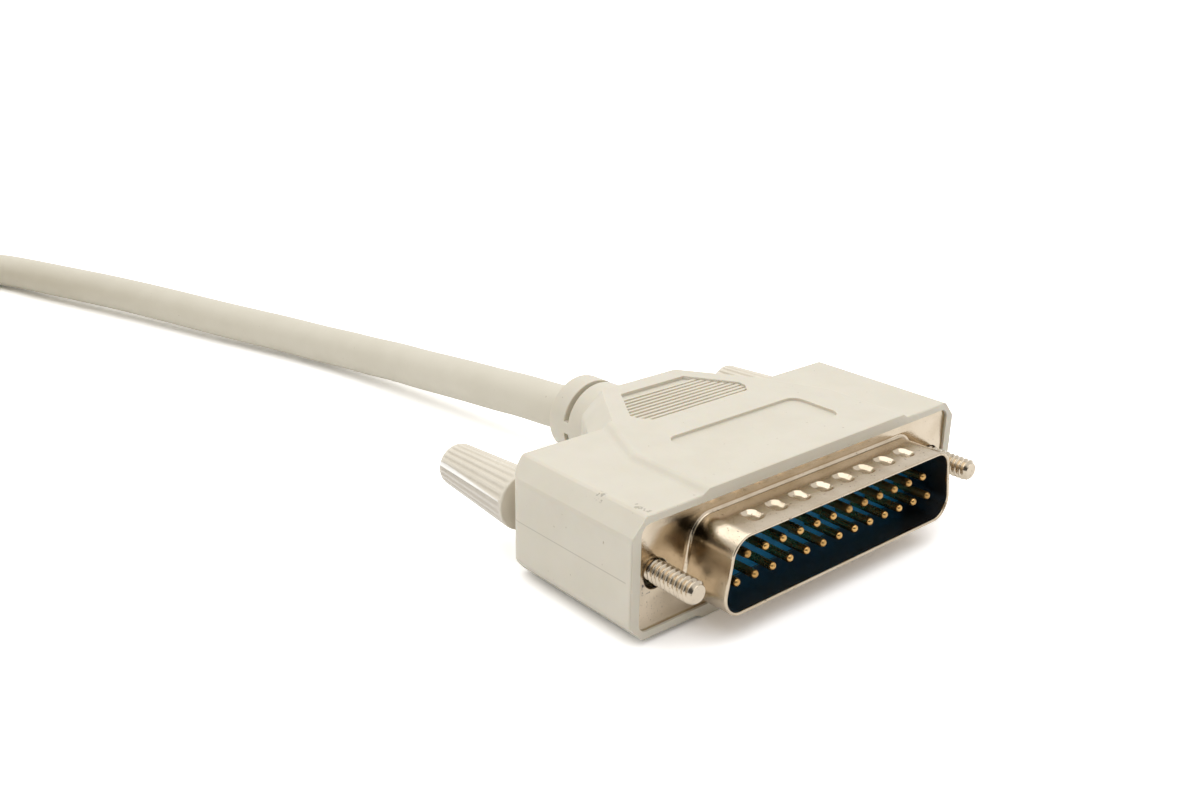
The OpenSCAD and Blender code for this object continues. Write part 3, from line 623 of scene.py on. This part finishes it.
# %% Tie around the coil
def tie_points(angle, spread, thickness):
    """A band around the coil's section: its outline, moved in and out by half a thickness,
    is turned about the coil's axis over a small angle."""
    w, low, step = COIL_PITCH, 0.4, COIL_PITCH
    corners = np.array([[-w, low, 1], [w, low, 1], [w, low + 3 * step, 1.6],
                        [0.6, low + 4 * step - 1.2, 1.2], [-0.6, low + 4 * step, 1],
                        [-w, low + 4 * step, 1.6]])
    line = []
    for k, (x, z, r) in enumerate(corners):
        here = corners[k, :2]
        before, after = corners[k - 1, :2], corners[(k + 1) % 6, :2]
        a = here + (before - here) / np.linalg.norm(before - here) * r
        b = here + (after - here) / np.linalg.norm(after - here) * r
        t = np.linspace(0, 1, 7)[:, None]
        line.append((1 - t)**2 * a + 2 * t * (1 - t) * here + t**2 * b)
    line = np.vstack(line)
    ahead = np.roll(line, -1, axis=0) - np.roll(line, 1, axis=0)
    ahead /= np.linalg.norm(ahead, axis=1, keepdims=True)
    outward = np.stack([ahead[:, 1], -ahead[:, 0]], axis=1)
    across = np.array([[0, -1], [0.0, 1], [1, 1], [1, -1]])
    points = []
    for out, side in across:
        section = line + outward * (0.05 + out * thickness)
        turn = angle + side * spread / (COIL_MEAN_R + section[:, 0])
        r = COIL_MEAN_R + section[:, 0]
        points.append(np.stack([COIL_CENTRE[0] + r * np.cos(turn),
                                COIL_CENTRE[1] + r * np.sin(turn), section[:, 1] + FLOOR_Z], axis=1))
    return np.vstack(points), len(line)


points, columns = tie_points(angle=math.radians(198.75), spread=2.1, thickness=0.35)
tie_mesh = mesh_from("coil_tie_skin", points, grid_quads(4, columns, closed_rows=True), 30)
add_piece("coil_tie_skin", tie_mesh, PLUG, ["coil_tie"])
print("tie has", len(tie_mesh.polygons), "faces")

# %% [markdown]
# ## Materials
# Three effects are shared by all the materials, so each is a node group: a fine grain for
# the moulded or plated surface, a soft mottling of the colour, and specks, which give dirt
# and break up the painted light of some patches. Each group puts out a mask, and every material uses
# the masks in its own way.

# %% Effect groups
def group(name, inputs):
    """A node group with number inputs and one Mask output."""
    tree = bpy.data.node_groups.new(name, "ShaderNodeTree")
    for label, value in inputs.items():
        socket = tree.interface.new_socket(label, in_out="INPUT", socket_type="NodeSocketFloat")
        socket.default_value = value
    tree.interface.new_socket("Mask", in_out="OUTPUT", socket_type="NodeSocketFloat")
    return tree, tree.nodes.new("NodeGroupInput"), tree.nodes.new("NodeGroupOutput")


def noise_in(tree, scale, detail, roughness):
    """A noise texture in object space (metres)."""
    place = tree.nodes.new("ShaderNodeTexCoord")
    noise = tree.nodes.new("ShaderNodeTexNoise")
    noise.inputs["Detail"].default_value = detail
    noise.inputs["Roughness"].default_value = roughness
    tree.links.new(place.outputs["Object"], noise.inputs["Vector"])
    tree.links.new(scale, noise.inputs["Scale"])
    return noise.outputs["Fac"]


def ramp_in(tree, value, low, high):
    """A smooth step of a value from low (0) to high (1)."""
    step = tree.nodes.new("ShaderNodeMapRange")
    step.interpolation_type = "SMOOTHSTEP"
    tree.links.new(value, step.inputs["Value"])
    for socket, source in (("From Min", low), ("From Max", high)):
        if isinstance(source, float):
            step.inputs[socket].default_value = source
        else:
            tree.links.new(source, step.inputs[socket])
    return step.outputs["Result"]


grain_group, inside, out = group("fine_grain", {"Scale": 9000})
grain_group.links.new(noise_in(grain_group, inside.outputs["Scale"], 3, 0.6), out.inputs["Mask"])

mottle_group, inside, out = group("mottle", {"Scale": 300})
soft = noise_in(mottle_group, inside.outputs["Scale"], 5, 0.55)
mottle_group.links.new(ramp_in(mottle_group, soft, 0.35, 0.68), out.inputs["Mask"])

speck_group, inside, out = group("specks", {"Scale": 2500, "Rarity": 0.68})
dots = noise_in(speck_group, inside.outputs["Scale"], 2, 0.5)
edge = speck_group.nodes.new("ShaderNodeMath")
edge.inputs[1].default_value = 0.07
speck_group.links.new(inside.outputs["Rarity"], edge.inputs[0])
speck_group.links.new(ramp_in(speck_group, dots, inside.outputs["Rarity"], edge.outputs[0]),
                      out.inputs["Mask"])
print("groups:", [g.name for g in bpy.data.node_groups])

# %% Material helpers
def material(name, metallic=0.0, specular=0.5, coat=0.0):
    """A new material with its Principled shader."""
    made = bpy.data.materials.new(name)
    made.use_nodes = True
    shader = made.node_tree.nodes["Principled BSDF"]
    shader.inputs["Metallic"].default_value = metallic
    shader.inputs["Specular IOR Level"].default_value = specular
    shader.inputs["Coat Weight"].default_value = coat
    return made, made.node_tree, shader


def effect(tree, effect_group, **values):
    """One use of an effect group. It gives back the group's mask."""
    node = tree.nodes.new("ShaderNodeGroup")
    node.node_tree = effect_group
    for label, value in values.items():
        node.inputs[label].default_value = value
    return node.outputs["Mask"]


def blend(tree, mask, low, high):
    """A colour between two others (values or sockets) by a mask."""
    mix = tree.nodes.new("ShaderNodeMix")
    mix.data_type = "RGBA"
    tree.links.new(mask, mix.inputs["Factor"])
    for socket, source in ((6, low), (7, high)):
        if isinstance(source, tuple):
            mix.inputs[socket].default_value = (*source, 1)
        else:
            tree.links.new(source, mix.inputs[socket])
    return mix.outputs[2]


def level(tree, mask, low, high):
    """A value between low and high by a mask."""
    step = tree.nodes.new("ShaderNodeMapRange")
    step.inputs["To Min"].default_value = low
    step.inputs["To Max"].default_value = high
    tree.links.new(mask, step.inputs["Value"])
    return step.outputs["Result"]


def relief_of(tree, shader, mask, height):
    """Bumps of a height in millimetres."""
    bump = tree.nodes.new("ShaderNodeBump")
    bump.inputs["Distance"].default_value = height * MM
    tree.links.new(mask, bump.inputs["Height"])
    tree.links.new(bump.outputs["Normal"], shader.inputs["Normal"])


def product(tree, first, second):
    """Two masks multiplied."""
    times = tree.nodes.new("ShaderNodeMath")
    times.operation = "MULTIPLY"
    tree.links.new(first, times.inputs[0])
    tree.links.new(second, times.inputs[1])
    return times.outputs[0]


def inside_box(tree, lows, highs, soft):
    """A mask that is 1 inside a box of object space and fades at its faces (all in mm)."""
    place = tree.nodes.new("ShaderNodeTexCoord")
    parts = tree.nodes.new("ShaderNodeSeparateXYZ")
    tree.links.new(place.outputs["Object"], parts.inputs["Vector"])
    result = None
    for axis, (low, high) in enumerate(zip(lows, highs)):
        for edge_at, fade in ((low * MM, soft * MM), (high * MM, -soft * MM)):
            step = ramp_in(tree, parts.outputs[axis], edge_at - fade, edge_at + fade)
            result = step if result is None else product(tree, result, step)
    return result


def with_patches_and_painted_light(tree, base, patches_and_painted_light):
    """The base colour with patches on it, some real and some painted light: painted highlights,
    shade and reflections.
    Each mark is a box in mm, how softly it ends in mm, its colour, and the scale and rarity of its
    specks."""
    for lows, highs, soft, colour, scale, rarity in patches_and_painted_light:
        specks = effect(tree, speck_group, Scale=scale, Rarity=rarity)
        mask = product(tree, inside_box(tree, lows, highs, soft), specks)
        base = blend(tree, mask, base, colour)
    return base


print("helpers ready")

# %% Moulded plastics
def moulded(name, light, dark, dirt, rough, grain=0.004, specular=0.4, coat=0.0, glow=0.0,
            patches_and_painted_light=()):
    """A moulded plastic: soft mottling between two shades, a few specks, fine grain."""
    made, tree, shader = material(name, specular=specular, coat=coat)
    shader.inputs["Subsurface Weight"].default_value = glow
    shader.inputs["Subsurface Radius"].default_value = (1.0, 0.55, 0.25)
    shader.inputs["Subsurface Scale"].default_value = 0.8 * MM
    mottle = effect(tree, mottle_group, Scale=160.0)
    base = blend(tree, mottle, light, dark)
    specks = effect(tree, speck_group, Scale=1400.0, Rarity=0.735)
    base = with_patches_and_painted_light(tree, blend(tree, specks, base, dirt), patches_and_painted_light)
    tree.links.new(base, shader.inputs["Base Color"])
    tree.links.new(level(tree, mottle, rough - 0.04, rough + 0.05), shader.inputs["Roughness"])
    relief_of(tree, shader, effect(tree, grain_group, Scale=7000.0), grain)
    return made


# Two rubbed spots near the hood's front, and the faint line where its mould closed.
HOOD_MARKS = [((-26.0, 5.9, 6.4), (-24.9, 7.1, 7.3), 0.1, (0.42, 0.38, 0.3), 2600.0, 0.5),
              ((-27.6, 0.4, -0.02), (-27.1, 19.6, 0.08), 0.05, (0.45, 0.41, 0.33), 50.0, -0.1),
              ((-25.0, 0.3, 6.8), (-24.0, 2.5, 7.4), 0.1, (0.42, 0.38, 0.3), 2600.0, 0.5)]
hood_look = moulded("beige_hood", (0.64, 0.595, 0.495), (0.62, 0.575, 0.475),
                    (0.4, 0.34, 0.25), 0.46, glow=0.25, patches_and_painted_light=HOOD_MARKS)
# A painted highlight along the seam of the left knob, and painted shade on its lower half.
KNOB_PAINTED_LIGHT = [((-27.6, 22.2, 0.66), (-25.7, 35.2, 0.98), 0.06, (0.92, 0.9, 0.86), 50.0, -0.1),
              ((-27.6, 21.9, -3.6), (-23.5, 35.2, 0.6), 0.15, (0.65, 0.595, 0.51), 50.0, -0.1)]
knob_look = moulded("beige_knob", (0.72, 0.66, 0.55), (0.69, 0.63, 0.52), (0.45, 0.39, 0.3), 0.3,
                    0.002, 0.5, 0.15, patches_and_painted_light=KNOB_PAINTED_LIGHT)
jacket_look = moulded("cable_jacket", (0.64, 0.595, 0.49), (0.62, 0.575, 0.47), (0.42, 0.36, 0.27),
                      0.45, 0.002, 0.3)
inner_look = moulded("inner_plastic", (0.62, 0.60, 0.55), (0.58, 0.56, 0.51), (0.4, 0.38, 0.35), 0.5)
blue_look = moulded("blue_insulator", (0.0, 0.18, 0.38), (0.0, 0.15, 0.33), (0.01, 0.05, 0.09), 0.45)
wire_look = moulded("wire_insulation", (0.7, 0.7, 0.68), (0.62, 0.63, 0.62), (0.4, 0.4, 0.4), 0.4)
tie_look = moulded("black_tie", (0.02, 0.02, 0.022), (0.03, 0.03, 0.032), (0.06, 0.06, 0.06), 0.6)
print("plastics ready")

# %% Plated metals
def plated(name, bright, dull, rough, grain, rough_spread=0.12, stain=(0.2, 0.14, 0.09),
           patches_and_painted_light=()):
    """A plated metal: its colour and gloss vary in soft patches, with tiny pits."""
    made, tree, shader = material(name, metallic=1.0)
    mottle = effect(tree, mottle_group, Scale=260.0)
    pits = effect(tree, speck_group, Scale=3600.0, Rarity=0.66)
    base = blend(tree, mottle, bright, dull)
    base = with_patches_and_painted_light(tree, blend(tree, pits, base, stain), patches_and_painted_light)
    tree.links.new(base, shader.inputs["Base Color"])
    tree.links.new(level(tree, mottle, rough, rough + rough_spread), shader.inputs["Roughness"])
    relief_of(tree, shader, effect(tree, grain_group, Scale=6500.0), grain)
    return made


# A dark patch on the flange and a darker one at the corner of the mouth's wall, both painted
# reflection; a small squiggle, and specks below the screw.
SHELL_SPECKS_AND_PAINTED_REFLECTION = [((-24.4, -0.6, 2.6), (-18.6, 0.1, 6.2), 1.1, (0.34, 0.27, 0.19), 900.0, 0.25),
               ((-20.4, -2.4, 2.0), (-17.6, 0.1, 5.4), 0.7, (0.13, 0.1, 0.06), 5000.0, 0.3),
               ((-25.4, -0.1, -1.9), (-24.2, 0.1, -0.6), 0.1, (0.1, 0.09, 0.1), 1700.0, 0.5),
               ((-25.8, -0.1, -5.4), (-22.0, 0.1, -2.4), 0.5, (0.22, 0.19, 0.16), 3400.0, 0.6)]
shell_look = plated("nickel_shell", (0.66, 0.56, 0.43), (0.58, 0.48, 0.35), 0.1, 0.012, 0.08,
                    patches_and_painted_light=SHELL_SPECKS_AND_PAINTED_REFLECTION)
screw_look = plated("nickel_screw", (0.64, 0.55, 0.43), (0.54, 0.46, 0.35), 0.12, 0.004)
gold_look = plated("gold_contact", (0.70, 0.42, 0.15), (0.50, 0.29, 0.10), 0.22, 0.001, 0.14,
                   (0.3, 0.16, 0.04))
# The mouth's inner wall: the nickel painted almost black, as painted shade for the dark inside of
# the mouth.
painted_shade_inside_look = plated("nickel_inside", (0.16, 0.15, 0.14), (0.12, 0.12, 0.12), 0.3, 0.001, 0.1,
                     (0.05, 0.05, 0.05))
print("metals ready")

# %% Every visible piece gets its material
def inside_mouth(middle, normal):
    """1 for a face on the inner wall of the mouth, which looks towards its middle."""
    facing = normal.x * middle.x + normal.z * middle.z * 4 < 0
    return int(facing and abs(normal.y) < 0.5 and -REACH + SHEET < middle.y < 0)


looks = {"cable": jacket_look, "coil_tie": tie_look, "conductors": wire_look,
         "contacts": gold_look, "pin_": gold_look, "inner_mould": inner_look,
         "insulator": blue_look, "shell": shell_look, "screw": screw_look, "knob": knob_look,
         "hood": hood_look, "strain_relief": hood_look}
for piece in scene.objects:
    if piece.type == "MESH" and not piece.hide_render:
        look = next(v for k, v in looks.items() if k in piece.name)
        piece.data.materials.clear()
        piece.data.materials.append(look)
# The faces of each mouth's inner wall take that darkened nickel, painted shade.
for piece in metal:
    if "front_shell" in piece.name:
        piece.data.materials.append(painted_shade_inside_look)
        at = ENDS["far_" if piece.name.startswith("far_") else ""]
        slots = [inside_mouth(face.center / MM - Vector(at), face.normal)
                 for face in piece.data.polygons]
        piece.data.polygons.foreach_set("material_index", slots)
        print(piece.name, sum(slots), "dark faces inside the mouth")
print("looks given")

# %% Floor, world and lamp
FLOOR_HALF, BELOW_PLUG = 4000, 0.02
floor_mesh = bpy.data.meshes.new("floor")
floor_mesh.from_pydata([(x * FLOOR_HALF * MM, y * FLOOR_HALF * MM, (FLOOR_Z - BELOW_PLUG) * MM)
                        for x, y in ((-1, -1), (1, -1), (1, 1), (-1, 1))], [], [(0, 1, 2, 3)])
floor = bpy.data.objects.new("floor", floor_mesh)
scene.collection.objects.link(floor)
paper = bpy.data.materials.new("floor_paper")
paper.use_nodes = True
shader = paper.node_tree.nodes["Principled BSDF"]
shader.inputs["Base Color"].default_value = (0.98, 0.98, 0.98, 1)
shader.inputs["Roughness"].default_value = 0.9
tree = paper.node_tree
bright = tree.nodes.new("ShaderNodeBsdfDiffuse")
bright.inputs["Color"].default_value = (1.5, 1.5, 1.51, 1)
seen_directly = tree.nodes.new("ShaderNodeMixShader")
ray = tree.nodes.new("ShaderNodeLightPath")
tree.links.new(ray.outputs["Is Camera Ray"], seen_directly.inputs["Fac"])
tree.links.new(shader.outputs["BSDF"], seen_directly.inputs[1])
tree.links.new(bright.outputs["BSDF"], seen_directly.inputs[2])
tree.links.new(seen_directly.outputs["Shader"], tree.nodes["Material Output"].inputs["Surface"])
floor_mesh.materials.append(paper)

world = bpy.data.worlds.new("studio")
scene.world = world
world.use_nodes = True
nodes, links = world.node_tree.nodes, world.node_tree.links
nodes.clear()
output = nodes.new("ShaderNodeOutputWorld")
mix = nodes.new("ShaderNodeMixShader")
seen = nodes.new("ShaderNodeBackground")
seen.inputs["Strength"].default_value = 1
seen.inputs["Color"].default_value = (1, 1, 1, 1)
light = nodes.new("ShaderNodeBackground")
light.inputs["Color"].default_value = (1, 1, 1, 1)
direction = nodes.new("ShaderNodeTexCoord")
towards = nodes.new("ShaderNodeVectorMath")
towards.operation = "DOT_PRODUCT"
towards.inputs[1].default_value = Vector((-0.6, -0.8, 0.15)).normalized()
room = nodes.new("ShaderNodeMapRange")
room.interpolation_type = "SMOOTHSTEP"
for label, value in (("From Min", 0.7), ("From Max", 0.94), ("To Min", 0.9), ("To Max", 0.08)):
    room.inputs[label].default_value = value
links.new(direction.outputs["Generated"], towards.inputs[0])
links.new(towards.outputs["Value"], room.inputs["Value"])
links.new(room.outputs["Result"], light.inputs["Strength"])
path = nodes.new("ShaderNodeLightPath")
links.new(path.outputs["Is Camera Ray"], mix.inputs["Fac"])
links.new(light.outputs["Background"], mix.inputs[1])
links.new(seen.outputs["Background"], mix.inputs[2])
links.new(mix.outputs["Shader"], output.inputs["Surface"])


def lamp(name, at, target, size, watts):
    """A soft square lamp that looks at a target (places in metres)."""
    data = bpy.data.lights.new(name, "AREA")
    data.shape = "SQUARE"
    data.size = size
    data.energy = watts
    holder = bpy.data.objects.new(name, data)
    holder.location = at
    holder.rotation_euler = (Vector(at) - Vector(target)).to_track_quat("Z", "Y").to_euler()
    scene.collection.objects.link(holder)


lamp("overhead", (0, 0.1, 0.8), (0, 0.03, 0), 1.2, 4.6)
scene.view_settings.view_transform = "Standard"
print("stage ready")
